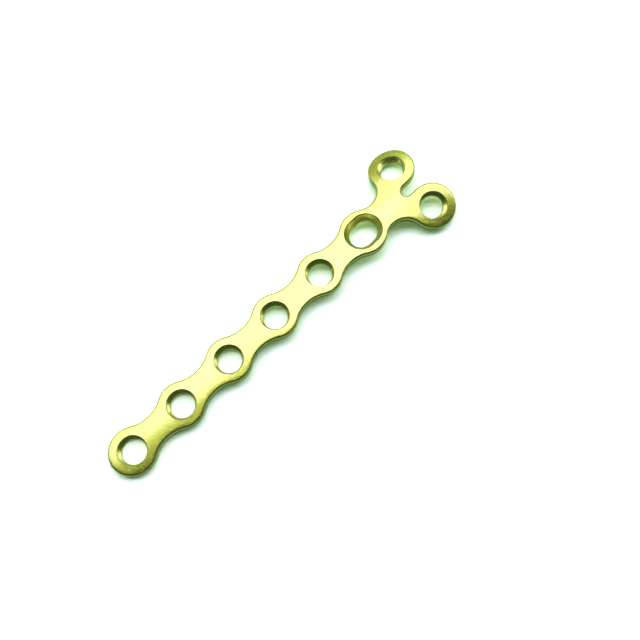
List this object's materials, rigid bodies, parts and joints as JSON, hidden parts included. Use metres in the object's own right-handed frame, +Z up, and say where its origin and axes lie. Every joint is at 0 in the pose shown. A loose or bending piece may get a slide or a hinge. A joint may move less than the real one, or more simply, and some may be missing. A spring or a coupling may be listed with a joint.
{
  "type": "bone plate",
  "caption": "Small locking bone plate: a scalloped, slightly crowned shaft with screw holes, one of them oblong, and a forked head with two ears curved down to the sides.",
  "frame": {"origin": "centre of the bounding box's underside, on the surface that the plate lies on", "axes": "+X along the shaft from the tail hole to the forked head, +Y across the plate towards the left ear, +Z up, away from the bone side"},
  "size_m": [0.045, 0.0112, 0.002],
  "materials": {
    "anodised_titanium": "satin, gold-yellow anodised after a fine blast"
  },
  "bodies": {
    "root": {"bone_plate": "anodised_titanium"}
  },
  "joints": []
}
